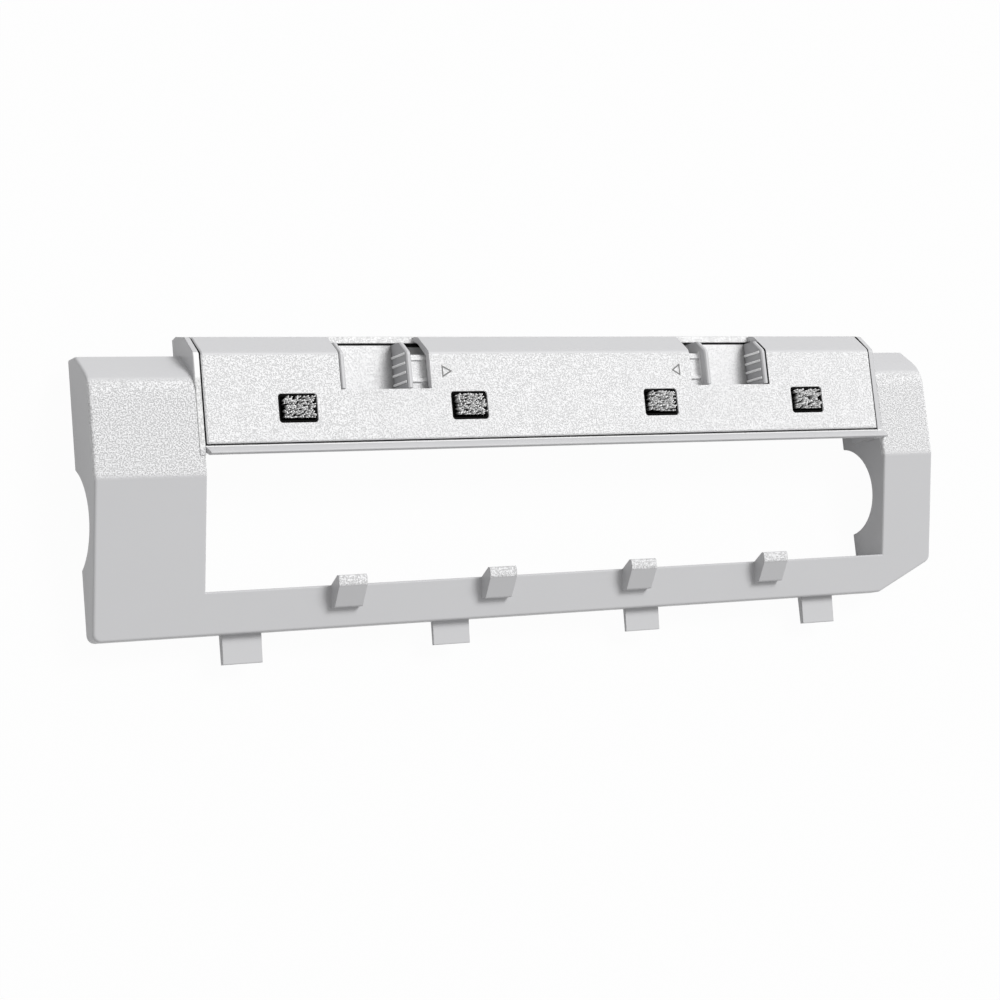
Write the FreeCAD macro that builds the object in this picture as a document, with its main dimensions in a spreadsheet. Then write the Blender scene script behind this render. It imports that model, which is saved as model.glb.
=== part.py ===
import FreeCAD, Part
import math
import os
import re
import Sketcher

os.makedirs("parts", exist_ok=True)
doc = FreeCAD.newDocument("brush_cover")

# Driving dimensions in millimetres, angles in degrees.
# X runs along the cover, Y towards the latches, Z up from the surface the cover lies on.
SIZES = {
    "cover_length": 225.0,
    "cover_depth": 72.0,
    "block_height": 16.2,      # top of the end blocks
    "skirt_height": 5.0,       # back edge of the outer skirt
    "skin": 1.8,
    "wall": 1.6,
    "inner_wall": 1.3,         # walls beside the brush window
    "left_block_width": 25.5,
    "right_block_width": 15.4,
    "block_setback": 4.5,      # the blocks end short of the panel bay
    "bend_setback": 5.9,       # the back chamfer of a block, along Y
    "bend_drop": 7.4,          # and along Z
    "block_bend_radius": 8.0,
    "block_rear_radius": 1.5,
    "crease_gap": 4.3,         # crease across the blocks, down from the lip
    "low_edge_height": 8.52,
    "left_corner_radius": 1.8,
    "rim_radius": 0.6,            # outer rims of the blocks and of the front bar
    "edge_break": 0.3,
    "corner_cut_width": 15.9,  # slanted low right corner
    "corner_cut_depth": 7.3,
    "corner_radius": 2.0,
    "corner_blend_radius": 2.0,
    "bar_width": 9.2,
    "bar_rib_count": 8,
    "bay_depth": 27.5,         # latch bay, from the lip to the rear
    "bay_setback": 2.2,        # the bay's front wall stands behind the lip
    "axle_setback": 11.8,      # brush axis, down from the lip
    "axle_drop": 1.3,          # and below the resting surface
    "outer_notch_radius": 12.5,
    "inner_notch_radius": 11.0,
    "inner_wall_low": 2.6,     # the inner walls start above the low edge
    "inner_wall_high": 12.0,   # and stop below the rear
    "panel_step": 0.5,         # panel over the blocks
    "panel_skin": 1.6,
    "panel_gap": 0.35,
    "panel_edge_gap": 0.3,
    "rear_bend_run": 4.1,      # slanted back edge of the panel, along Y
    "rear_bend_drop": 4.6,
    "rear_lean": 1.0,          # the rear face leans out below the slant
    "rear_widest": 7.5,        # height where it is furthest out
    "rear_tuck": 0.4,
    "rear_bend_radius": 1.5,
    "rear_edge_radius": 1.2,
    "bay_back_height": 5.3,
    "flange_inset": 1.3,       # the right flange stands inside the window's edge
    "flange_step": 0.15,       # flanges over the blocks
    "lip_width": 2.05,
    "lip_height": 17.8,
    "lip_nose": 0.6,
    "lip_base_height": 16.1,
    "lip_under": 1.0,
    "lip_end_cut": 0.8,
    "deck_height": 8.0,
    "deck_skin": 1.5,
    "ledge_height": 9.5,
    "ledge_width": 1.9,
    "deck_rib": 1.2,
    "deck_rib_gap": 4.0,       # ribs, off the springs, hooks and screws
    "tooth_count": 4,
    "tooth_pitch": 38.25,
    "tooth_first": 55.44,      # left side of the first tooth, in from the left end
    "tooth_width": 7.0,
    "tooth_front": 4.15,       # front of a tooth, up from the low edge
    "tooth_step_height": 11.3,
    "tooth_height": 14.75,
    "tooth_top": 2.5,
    "tooth_overhang": 2.2,
    "tooth_radius": 0.6,
    "tab_reach": 6.4,
    "tab_width": 9.4,
    "tab_height": 6.2,         # front face of a tab where it leaves the skirt
    "tab_drop": 0.5,           # a tab falls towards its tip
    "outer_tab_skin": 1.6,
    "middle_tab_skin": 0.9,
    "middle_tab_short": 1.1,
    "tab_tip": 0.7,             # thickness of a tab at its tip, as a share of its root
    "tab_centre": 0.55,
    "tab_pitch": 52.0,
    "latch_window_end": 33.4,  # latch windows, in from the ends of the brush window
    "latch_window_width": 22.95,
    "latch_window_depth": 13.65,
    "latch_gap": 0.25,
    "latch_travel": 4.0,
    "latch_wall": 1.2,
    "latch_cup": 18.1,
    "latch_floor": 9.5,
    "latch_floor_skin": 1.2,
    "latch_rear_gap": 0.55,
    "latch_foot": 2.75,        # the floor runs on under the panel's edge
    "latch_tongue": 9.1,
    "tongue_width": 6.9,
    "tongue_setback": 2.95,
    "shelf_drop": 2.9,         # plate beside the inner wall, below the panel's face
    "shelf_skin": 1.0,
    "grip_pitch": 2.13,
    "grip_count": 4,
    "grip_first": 1.55,
    "grip_radius": 0.32,
    "grip_height": 6.6,
    "rail_width": 0.8,
    "rail_height": 0.5,
    "rail_first": 1.7,         # rails across the plate, up from its low edge
    "rail_second": 6.7,
    "shelf_depth": 8.0,
    "hook_inset": 3.7,
    "hook_thick": 2.0,
    "hook_width": 6.0,
    "hook_first": 2.35,
    "hook_bottom": 0.8,
    "hook_nose": 1.6,
    "hook_nose_height": 2.4,
    "slot_gap": 0.4,
    "guide_gap": 0.3,
    "guide_wall": 1.2,
    "guide_height": 2.4,
    "stop_height": 5.0,
    "stop_width": 5.4,
    "stop_wall": 1.5,
    "spring_room": 10.0,
    "spring_radius": 1.8,
    "spring_wire": 0.25,
    "spring_turns": 5.5,
    "spring_lift": 2.55,
    "spring_end_gap": 0.05,
    "spring_pin_radius": 1.1,
    "spring_pin": 1.8,
    "tuft_latch_gap": 9.5,     # inner tuft windows, in from the latch windows
    "tuft_end": 22.55,         # outer tuft windows, in from the ends of the brush window
    "tuft_drop": 17.65,        # middle of a tuft window, down from the rear
    "tuft_window_width": 9.5,
    "tuft_window_depth": 6.5,
    "tuft_window_radius": 0.8,
    "cup_gap": 0.1,
    "cup_wall": 0.5,
    "cup_height": 4.2,
    "cup_recess": 0.4,
    "cup_floor": 0.8,
    "stem_width": 4.0,
    "tuft_columns": 5,
    "tuft_rows": 4,
    "tuft_radius": 0.5,
    "tuft_below": 0.9,
    "tuft_root": 0.5,
    "screw_end": 10.05,        # outer screws, in from the ends of the brush window
    "screw_drop": 11.5,
    "post_radius": 2.6,
    "pilot_radius": 1.05,
    "pilot_depth": 6.0,
    "shank_radius": 1.0,
    "shank_length": 5.2,
    "screw_clearance": 0.3,
    "head_radius": 2.1,
    "head_height": 1.3,
    "recess_radius": 0.7,
    "recess_depth": 0.7,
    "seat_gap": 0.1,
}

# Places worked out from the driving dimensions.
PLACES = {
    "left": "-cover_length / 2",
    "right": "cover_length / 2",
    "window_left": "left + left_block_width",
    "window_right": "right - right_block_width",
    "rear": "cover_depth / 2",
    "low": "-cover_depth / 2 + tab_reach",
    "bar_edge": "low + bar_width",
    "lip_front": "rear - bay_depth",
    "crease": "lip_front - crease_gap",
    "slope": "(block_height - low_edge_height) / (crease - low)",
    "middle": "(window_left + window_right) / 2",
    "half_window": "(window_right - window_left) / 2",
    "axle": "lip_front - axle_setback",
    "block_rear": "rear - block_setback",
    "block_bend": "block_rear - bend_setback",
    "block_bend_height": "block_height - bend_drop",
    "panel_height": "block_height + panel_step",
    "flange_height": "block_height + flange_step",
    "bay_front": "lip_front + bay_setback",
    "panel_low": "lip_front + lip_width + panel_edge_gap",
    "panel_left": "window_left + panel_gap",
    "flange_right": "window_right - flange_inset",
    "panel_right": "flange_right - panel_gap",
    "slant_low": "rear - rear_lean",
    "slant_high": "slant_low - rear_bend_run",
    "slant_height": "panel_height - rear_bend_drop",
    "ledge_front": "rear - ledge_width",
    "panel_foot": "ledge_height + panel_edge_gap",
    "panel_under": "panel_height - panel_skin",
    "lean_slope": "rear_lean / (slant_height - rear_widest)",
    "latch_window_far": "half_window - latch_window_end",
    "latch_window_near": "latch_window_far - latch_window_width",
    "latch_edge": "rear - latch_window_depth",
    "latch_low": "latch_edge + latch_gap",
    "latch_rear": "ledge_front - latch_rear_gap",
    "latch_outer": "latch_window_far - latch_gap",
    "latch_inner": "latch_outer - latch_cup",
    "latch_end": "latch_inner - latch_tongue",
    "latch_under": "latch_floor - latch_floor_skin",
    "latch_front": "latch_edge - latch_foot",
    "hook_place": "latch_inner + hook_inset",
    "hook_rear": "latch_rear - hook_first",
    "slot_near": "hook_place - latch_travel - slot_gap",
    "slot_far": "hook_place + hook_thick + hook_nose + slot_gap",
    "spring_post": "latch_end - spring_room",
    "spring_height": "deck_height + spring_lift",
    "spring_line": "latch_rear - tongue_setback - tongue_width / 2",
    "shelf_top": "panel_height - shelf_drop",
    "tuft_near": "latch_window_near - tuft_latch_gap",
    "tuft_far": "half_window - tuft_end",
    "screw_near": "(spring_post - stop_wall) / 2",
    "screw_far": "half_window - screw_end",
    "tuft_line": "rear - tuft_drop",
    "cup_top": "panel_height - cup_recess",
    "cup_width": "tuft_window_width - 2 * cup_gap",
    "cup_depth": "tuft_window_depth - 2 * cup_gap",
    "tuft_base": "cup_top - cup_height + cup_floor",
    "screw_line": "rear - screw_drop",
    "seat": "deck_height - deck_skin",
}


def ex(text):
    """Spell out a formula in sizes and places as a sheet expression."""

    def swap(found):
        word = found.group(0)
        if word in PLACES:
            return "(" + ex(PLACES[word]) + ")"
        if word in SIZES:
            return "Sizes." + word
        return word

    return re.sub(r"[a-z_]+", swap, text)


def number(text):
    return float(sheet.evalExpression(ex(text)))


sheet = doc.addObject("Spreadsheet::Sheet", "Sizes")
for row, (alias, value) in enumerate(SIZES.items(), 1):
    sheet.set(f"A{row}", alias)
    sheet.set(f"B{row}", str(value))
    sheet.setAlias(f"B{row}", alias)
doc.recompute()


def bound(item, **formulas):
    for name, formula in formulas.items():
        item.setExpression(name.replace("__", "."), ex(formula))
    return item


def make_body(name):
    return doc.addObject("PartDesign::Body", name)


def make_sketch(body, name, plane, offset):
    sketch = body.newObject("Sketcher::SketchObject", name)
    origin = next(f for f in body.Origin.OriginFeatures if f.Role == plane + "_Plane")
    sketch.AttachmentSupport = [(origin, "")]
    sketch.MapMode = "FlatFace"
    sketch.setExpression("AttachmentOffset.Base.z", ex(offset))
    return sketch


def constrain(sketch, kind, *where, formula):
    index = sketch.addConstraint(Sketcher.Constraint(kind, *where, number(formula)))
    sketch.setExpression(f"Constraints[{index}]", ex(formula))


def polygon(sketch, corners):
    """Closed outline through corners given as pairs of formulas."""
    values = [FreeCAD.Vector(number(a), number(b), 0) for a, b in corners]
    first = sketch.GeometryCount
    count = len(values)
    for i, corner in enumerate(values):
        sketch.addGeometry(Part.LineSegment(corner, values[(i + 1) % count]), False)
    for i in range(count):
        following = first + (i + 1) % count
        sketch.addConstraint(Sketcher.Constraint("Coincident", first + i, 2, following, 1))
    for i, (a, b) in enumerate(corners):
        constrain(sketch, "DistanceX", first + i, 1, formula=a)
        constrain(sketch, "DistanceY", first + i, 1, formula=b)


def rectangle(sketch, x0, x1, y0, y1):
    polygon(sketch, [(x0, y0), (x1, y0), (x1, y1), (x0, y1)])


def circle(sketch, x, y, radius):
    centre = FreeCAD.Vector(number(x), number(y), 0)
    item = sketch.addGeometry(Part.Circle(centre, FreeCAD.Vector(0, 0, 1), number(radius)), False)
    constrain(sketch, "DistanceX", item, 3, formula=x)
    constrain(sketch, "DistanceY", item, 3, formula=y)
    constrain(sketch, "Radius", item, formula=radius)


def hexagon(sketch, x, y, radius):
    corners = []
    for k in range(6):
        dx = round(math.cos(k * math.pi / 3), 4)
        dy = round(math.sin(k * math.pi / 3), 4)
        corners.append((f"{x} + {radius} * {dx}", f"{y} + {radius} * {dy}"))
    polygon(sketch, corners)


def pad(body, name, sketch, length):
    feature = body.newObject("PartDesign::Pad", name)
    feature.Profile = sketch
    feature.setExpression("Length", ex(length))
    doc.recompute()
    return feature


def cut(body, name, sketch, length):
    """Cut along the sketch's own normal, and make sure that material went."""
    before = body.Shape.Volume
    feature = body.newObject("PartDesign::Pocket", name)
    feature.Profile = sketch
    feature.Reversed = True
    feature.setExpression("Length", ex(length))
    doc.recompute()
    if body.Shape.Volume > before - 0.001:
        raise RuntimeError(name + " cuts nothing")
    return feature


def bar_along_x(body, name, corners, start, length):
    sketch = make_sketch(body, name + "_outline", "YZ", start)
    polygon(sketch, corners)
    return pad(body, name, sketch, length)


def block_up(body, name, x0, x1, y0, y1, z0, z1):
    sketch = make_sketch(body, name + "_outline", "XY", z0)
    rectangle(sketch, x0, x1, y0, y1)
    return pad(body, name, sketch, f"{z1} - ({z0})")


def cut_up(body, name, x0, x1, y0, y1, z0, z1):
    sketch = make_sketch(body, name + "_outline", "XY", z0)
    rectangle(sketch, x0, x1, y0, y1)
    return cut(body, name, sketch, f"{z1} - ({z0})")


def straight(edge):
    ends = [vertex.Point for vertex in edge.Vertexes]
    return len(ends) == 2 and 0 < edge.Length < ends[0].distanceToPoint(ends[1]) + 1e-6


def edges_along(shape, axis, spots, reach=0.02):
    """Names of the edges parallel to an axis through the given spots.

    A spot is a pair of formulas for the two other coordinates, in X, Y, Z order.
    """
    others = [i for i in range(3) if i != axis]
    targets = [[number(a) for a in spot] for spot in spots]
    names = []
    for i, edge in enumerate(shape.Edges, 1):
        ends = [vertex.Point for vertex in edge.Vertexes]
        if not straight(edge):
            continue
        for target in targets:
            if all(abs(p[k] - v) < reach for p in ends for k, v in zip(others, target)):
                names.append(f"Edge{i}")
                break
    return names


def round_edges(body, name, base, edges, radius):
    feature = body.newObject("PartDesign::Fillet", name)
    feature.Base = (base, edges)
    feature.setExpression("Radius", ex(radius))
    doc.recompute()
    return feature


def break_edges(body, name, base, edges, size):
    feature = body.newObject("PartDesign::Chamfer", name)
    feature.Base = (base, edges)
    feature.setExpression("Size", ex(size))
    doc.recompute()
    return feature


def side_rim(shape, x, low, high, reach=0.02):
    """Names of the edges that lie in the plane at x, between two heights, off the underside."""
    level = number(x)
    bottom = number(low) + reach
    top = number(high) + reach
    names = []
    for i, edge in enumerate(shape.Edges, 1):
        ends = [vertex.Point for vertex in edge.Vertexes]
        if all(abs(p.x - level) < reach for p in ends) and all(p.z < top for p in ends):
            if max(p.z for p in ends) > bottom:
                names.append(f"Edge{i}")
    return names


def pattern(body, name, feature, direction, length, count):
    row = body.newObject("PartDesign::LinearPattern", name)
    row.Originals = [feature]
    axis = next(f for f in body.Origin.OriginFeatures if f.Role == direction + "_Axis")
    row.Direction = (axis, [""])
    row.setExpression("Length", ex(length))
    row.setExpression("Occurrences", ex(count))
    body.Tip = row
    doc.recompute()
    return row


def combine(kind, name, parts):
    item = doc.addObject(kind, name)
    if kind == "Part::Cut":
        item.Base, item.Tool = parts
        item.Refine = True
    elif kind == "Part::MultiFuse":
        item.Shapes = parts
        item.Refine = True
    else:
        item.Links = parts
    doc.recompute()
    return item


# Outline of an end block, seen along X.
BLOCK = [
    ("low", "skirt_height"),
    ("low", "low_edge_height"),
    ("crease", "block_height"),
    ("block_bend", "block_height"),
    ("block_rear", "block_bend_height"),
    ("block_rear", "skirt_height"),
]
HOLLOW = [
    ("low + wall", "skirt_height - 1"),
    ("low + wall", "low_edge_height + wall * slope - skin"),
    ("crease", "block_height - skin"),
    ("block_bend - skin", "block_height - skin"),
    ("block_rear - wall", "block_bend_height - wall / 3"),
    ("block_rear - wall", "skirt_height - 1"),
]


def corner_outline(inset):
    """Region outside the slanted corner of the right block, seen from above."""
    return [
        (f"right - corner_cut_width - {inset}", f"low + {inset}"),
        (f"right - {inset}", f"low + corner_cut_depth + {inset}"),
        ("right + 5", f"low + corner_cut_depth + {inset}"),
        ("right + 5", "low - 5"),
        (f"right - corner_cut_width - {inset}", "low - 5"),
    ]


def slope_edges(shape, x):
    """Names of the sloping and level top edges of a block, in the plane at x."""
    level = number(x)
    bottom = number("low_edge_height") - 0.02
    names = []
    for i, edge in enumerate(shape.Edges, 1):
        ends = [vertex.Point for vertex in edge.Vertexes]
        if not straight(edge) or any(abs(p.x - level) > 0.02 for p in ends):
            continue
        if all(p.z > bottom and p.y < number("block_bend") for p in ends):
            names.append(f"Edge{i}")
    return names


def end_block(side, start, width, hollow_start, right_side):
    outer = make_body(side + "_block_form")
    form = bar_along_x(outer, side + "_block", BLOCK, start, width)
    bend = edges_along(outer.Shape, 0, [("block_bend", "block_height")])
    round_edges(outer, side + "_bend", form, bend, "block_bend_radius")
    foot = edges_along(outer.Shape, 0, [("block_rear", "block_bend_height")])
    round_edges(outer, side + "_foot", outer.Tip, foot, "block_rear_radius")
    if right_side:
        region = make_sketch(outer, side + "_corner_region", "XY", "0")
        polygon(region, corner_outline("0"))
        cut(outer, side + "_corner", region, "panel_height")
        upright = edges_along(outer.Shape, 2, [("right", "low + corner_cut_depth")])
    else:
        upright = edges_along(outer.Shape, 2, [("left", "low")])
    radius = "corner_radius" if right_side else "left_corner_radius"
    round_edges(outer, side + "_upright", outer.Tip, upright, radius)
    rim = side_rim(outer.Shape, "right" if right_side else "left", "skirt_height", "block_height")
    round_edges(outer, side + "_rim", outer.Tip, rim, "rim_radius")
    window_side = "window_right" if right_side else "window_left"
    lip = slope_edges(outer.Shape, window_side)
    break_edges(outer, side + "_window_edge", outer.Tip, lip, "edge_break")

    hollow = make_body(side + "_block_hollow")
    room = f"{width} - wall - inner_wall"
    bar_along_x(hollow, side + "_hollow", HOLLOW, hollow_start, room)
    if right_side:
        region = make_sketch(hollow, side + "_hollow_region", "XY", "0")
        polygon(region, corner_outline("wall"))
        cut(hollow, side + "_hollow_corner", region, "panel_height")
    return combine("Part::Cut", side + "_shell", [outer, hollow])


def inner_side(side, start):
    """Wall beside the window that reaches the resting surface."""
    body = make_body(side + "_inner_wall")
    outline = [
        ("low + inner_wall_low", "0"),
        ("low + inner_wall_low", "skirt_height + 2"),
        ("crease", "block_height - skin / 2"),
        ("block_bend", "block_height - skin / 2"),
        ("rear - inner_wall_high + 3", "skirt_height"),
        ("rear - inner_wall_high", "0"),
    ]
    bar_along_x(body, side + "_inner_plate", outline, start, "inner_wall")
    return body


def notch(side, start, length, radius):
    tool = doc.addObject("Part::Cylinder", side + "_notch")
    tool.Placement.Rotation = FreeCAD.Rotation(FreeCAD.Vector(0, 1, 0), 90)
    return bound(
        tool,
        Radius=radius,
        Height=length,
        Placement__Base__x=start,
        Placement__Base__y="axle",
        Placement__Base__z="-axle_drop",
    )


def front_bar():
    body = make_body("front_bar")
    outline = [
        ("low", "skirt_height"),
        ("low", "low_edge_height"),
        ("bar_edge", "low_edge_height + bar_width * slope"),
        ("bar_edge", "skirt_height"),
        ("bar_edge - wall", "skirt_height"),
        ("bar_edge - wall", "low_edge_height + (bar_width - wall) * slope - skin"),
        ("low + wall", "low_edge_height + wall * slope - skin"),
        ("low + wall", "skirt_height"),
    ]
    start = "window_left - inner_wall / 2"
    length = "window_right - window_left + inner_wall"
    bar_along_x(body, "bar", outline, start, length)
    region = make_sketch(body, "bar_corner_region", "XY", "0")
    polygon(region, corner_outline("0"))
    cut(body, "bar_corner", region, "panel_height")
    knee = edges_along(body.Shape, 2, [("right - corner_cut_width", "low")])
    round_edges(body, "bar_blend", body.Tip, knee, "corner_blend_radius")
    low_edge = edges_along(body.Shape, 0, [outline[1]])
    round_edges(body, "bar_edge_round", body.Tip, low_edge, "rim_radius")
    high_edge = edges_along(body.Shape, 0, [outline[2]])
    break_edges(body, "bar_window_edge", body.Tip, high_edge, "edge_break")

    rib = block_up(
        body,
        "bar_rib",
        "window_left + 12",
        "window_left + 12 + deck_rib",
        "low + wall / 2",
        "bar_edge - wall / 2",
        "skirt_height + 0.6",
        "low_edge_height - skin / 2",
    )
    span = "window_right - window_left - 24 - deck_rib"
    pattern(body, "bar_ribs", rib, "X", span, "bar_rib_count")

    tooth_outline = [
        ("low + tooth_front", "low_edge_height - skin / 2"),
        ("low + tooth_front", "tooth_step_height"),
        ("bar_edge + tooth_overhang - tooth_top", "tooth_height"),
        ("bar_edge + tooth_overhang", "tooth_height"),
        ("bar_edge", "low_edge_height + bar_width * slope"),
        ("bar_edge - wall / 2", "low_edge_height - skin / 2"),
    ]
    tooth = bar_along_x(body, "tooth", tooth_outline, "left + tooth_first", "tooth_width")
    span = "tooth_pitch * (tooth_count - 1)"
    teeth = pattern(body, "teeth", tooth, "X", span, "tooth_count")

    spots = [tooth_outline[1], tooth_outline[2], tooth_outline[3]]
    round_edges(body, "teeth_round", teeth, edges_along(body.Shape, 0, spots), "tooth_radius")

    places = {
        "tab_a": ("tab_centre - tab_pitch * 3 / 2", "outer_tab_skin", "0"),
        "tab_b": ("tab_centre - tab_pitch / 2", "middle_tab_skin", "middle_tab_short"),
        "tab_c": ("tab_centre + tab_pitch / 2", "middle_tab_skin", "middle_tab_short"),
        "tab_d": ("tab_centre + tab_pitch * 3 / 2", "outer_tab_skin", "0"),
    }
    for name, (place, skin, short) in places.items():
        tip = f"low - tab_reach + {short}"
        outline = [
            ("low + wall / 2", "tab_height"),
            (tip, "tab_height - tab_drop"),
            (tip, f"tab_height - tab_drop - {skin} * tab_tip"),
            ("low + wall / 2", f"tab_height - {skin}"),
        ]
        start = f"{place} - tab_width / 2"
        bar_along_x(body, name, outline, start, "tab_width")
    return body


# Rear of the bay and the panel, seen along X, from the top round to the back edge.
REAR = [
    ("slant_high", "panel_height"),
    ("slant_low", "slant_height"),
    ("rear", "rear_widest"),
    ("rear - rear_tuck", "bay_back_height"),
]


def flange(side, start):
    body = make_body(side + "_flange")
    bend = ("slant_high", "flange_height")
    outline = [("lip_front", "bay_back_height"), ("lip_front", "flange_height"), bend] + REAR[1:]
    plate = bar_along_x(body, side + "_flange_plate", outline, start, "inner_wall")
    top = edges_along(body.Shape, 0, [bend])
    round_edges(body, side + "_flange_bend", plate, top, "rear_bend_radius")
    low_bend = edges_along(body.Shape, 0, [REAR[1], REAR[2]])
    round_edges(body, side + "_flange_low_bend", body.Tip, low_bend, "rear_edge_radius")
    return body


def sides(sign, near, far):
    if sign < 0:
        return f"middle - ({far})", f"middle - ({near})"
    return f"middle + {near}", f"middle + {far}"


def bay():
    body = make_body("panel_bay")
    span = "window_right - window_left + inner_wall"
    start = "window_left - inner_wall / 2"
    wall_outline = [
        ("bay_front", "skirt_height"),
        ("bay_front", "panel_under - panel_edge_gap"),
        ("bay_front + wall", "panel_under - panel_edge_gap"),
        ("bay_front + wall", "deck_height"),
        ("ledge_front", "deck_height"),
        ("ledge_front", "ledge_height"),
        ("rear - (ledge_height - rear_widest) * lean_slope", "ledge_height"),
        ("rear", "rear_widest"),
        ("rear - rear_tuck", "bay_back_height"),
        ("ledge_front", "bay_back_height"),
        ("ledge_front", "seat"),
        ("bay_front + wall", "seat"),
        ("bay_front + wall", "skirt_height"),
    ]
    bar_along_x(body, "bay", wall_outline, start, "flange_right - window_left + inner_wall")
    join_outline = [
        ("bay_front", "skirt_height"),
        ("bay_front", "panel_under - panel_edge_gap"),
        ("bay_front + wall", "panel_under - panel_edge_gap"),
        ("bay_front + wall", "skirt_height"),
    ]
    bar_along_x(body, "bay_wall", join_outline, start, span)
    # The lip rises from the panel's edge to a rounded nose and leans over the wall.
    lip_outline = [
        ("lip_front", "lip_height - lip_nose - lip_under"),
        ("lip_front", "lip_height - lip_nose"),
        ("lip_front + lip_nose / 2", "lip_height"),
        ("lip_front + lip_width", "lip_base_height"),
        ("lip_front + lip_width", "panel_under - panel_edge_gap"),
        ("bay_front + wall / 2", "panel_under - panel_edge_gap"),
        ("bay_front + wall / 2", "panel_under - bay_setback - panel_skin"),
    ]
    lip = bar_along_x(body, "lip", lip_outline, start, span)
    nose = edges_along(body.Shape, 0, [lip_outline[1], lip_outline[2]])
    round_edges(body, "lip_round", lip, nose, "lip_nose / 2.2")
    mitre = make_sketch(body, "lip_end_region", "XY", "panel_under - bay_setback - panel_skin")
    polygon(mitre, [
        ("window_left - inner_wall", "lip_front - 1"),
        ("window_left + lip_end_cut", "lip_front - 1"),
        ("window_left + lip_end_cut", "lip_front"),
        ("window_left", "lip_front + lip_width"),
        ("window_left - inner_wall", "lip_front + lip_width"),
    ])
    cut(body, "lip_end", mitre, "lip_height")

    places = ["middle"]
    for away in ("spring_post + deck_rib_gap", "slot_far + deck_rib_gap", "screw_far - deck_rib_gap"):
        places += [f"middle - ({away})", f"middle + ({away})"]
    for index, place in enumerate(places):
        block_up(
            body,
            f"deck_rib_{index}",
            f"{place} - deck_rib / 2",
            f"{place} + deck_rib / 2",
            "bay_front + wall / 2",
            "ledge_front + ledge_width / 3",
            "bay_back_height",
            "deck_height - deck_skin / 2",
        )

    for side, sign in (("left", -1), ("right", 1)):
        x0, x1 = sides(sign, "slot_near", "slot_far")
        y0 = "hook_rear - hook_width - slot_gap"
        y1 = "hook_rear + slot_gap"
        cut_up(body, side + "_hook_slot", x0, x1, y0, y1, "0", "deck_height + 1")

        x0, x1 = sides(sign, "latch_window_near", "latch_window_far")
        y1 = "latch_front - guide_gap"
        y0 = y1 + " - guide_wall"
        top = "deck_height + guide_height"
        block_up(body, side + "_guide", x0, x1, y0, y1, "deck_height - 0.2", top)

        x0, x1 = sides(sign, "spring_post - stop_wall", "spring_post")
        y0 = "spring_line - stop_width / 2"
        y1 = "spring_line + stop_width / 2"
        top = "deck_height + stop_height"
        block_up(body, side + "_stop", x0, x1, y0, y1, "deck_height - 0.2", top)
        x0, x1 = sides(sign, "spring_post - stop_wall / 2", "spring_post + spring_pin")
        pin = make_sketch(body, side + "_stop_pin_outline", "YZ", x0)
        circle(pin, "spring_line", "spring_height", "spring_pin_radius")
        pad(body, side + "_stop_pin", pin, "spring_pin + stop_wall / 2")

        for name, near in (("near", "screw_near"), ("far", "screw_far")):
            hole = make_sketch(body, f"{side}_{name}_hole_outline", "XY", "0")
            x = f"middle - {near}" if sign < 0 else f"middle + {near}"
            circle(hole, x, "screw_line", "shank_radius + screw_clearance")
            cut(body, f"{side}_{name}_hole", hole, "deck_height + 1")
    return body


def make_frame():
    left = end_block("left", "left", "left_block_width", "left + wall", False)
    start = "window_right + inner_wall"
    right = end_block("right", "window_right", "right_block_width", start, True)
    parts = [
        left,
        right,
        inner_side("left", "window_left - inner_wall"),
        inner_side("right", "window_right"),
        flange("left", "window_left - inner_wall"),
        flange("right", "flange_right"),
        front_bar(),
        bay(),
    ]
    whole = combine("Part::MultiFuse", "frame_whole", parts)
    notches = [
        notch("outer", "left - 1", "wall + 1.5", "outer_notch_radius"),
        notch("left", "window_left - inner_wall - 0.2", "inner_wall + 0.4", "inner_notch_radius"),
        notch("right", "window_right - 0.2", "inner_wall + 0.4", "inner_notch_radius"),
    ]
    tools = combine("Part::MultiFuse", "notches", notches)
    return combine("Part::Cut", "frame", [whole, tools])


def side_tops(shape, x, reach=0.02):
    """Names of the edges of the panel's face in the plane at x, down to the back edge."""
    level = number(x)
    corners = [("panel_low", "panel_height"), ("slant_high", "panel_height"), ("slant_low", "slant_height")]
    line = [(number(y), number(z)) for y, z in corners]
    names = []
    for i, edge in enumerate(shape.Edges, 1):
        middle = edge.valueAt((edge.FirstParameter + edge.LastParameter) / 2)
        if abs(middle.x - level) > reach or any(abs(v.X - level) > reach for v in edge.Vertexes):
            continue
        for (y0, z0), (y1, z1) in zip(line, line[1:]):
            length = math.hypot(y1 - y0, z1 - z0)
            away = abs((middle.y - y0) * (z1 - z0) - (middle.z - z0) * (y1 - y0)) / length
            if away < number("edge_break") and y0 - reach < middle.y < y1 + reach:
                names.append(f"Edge{i}")
                break
    return names


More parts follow.
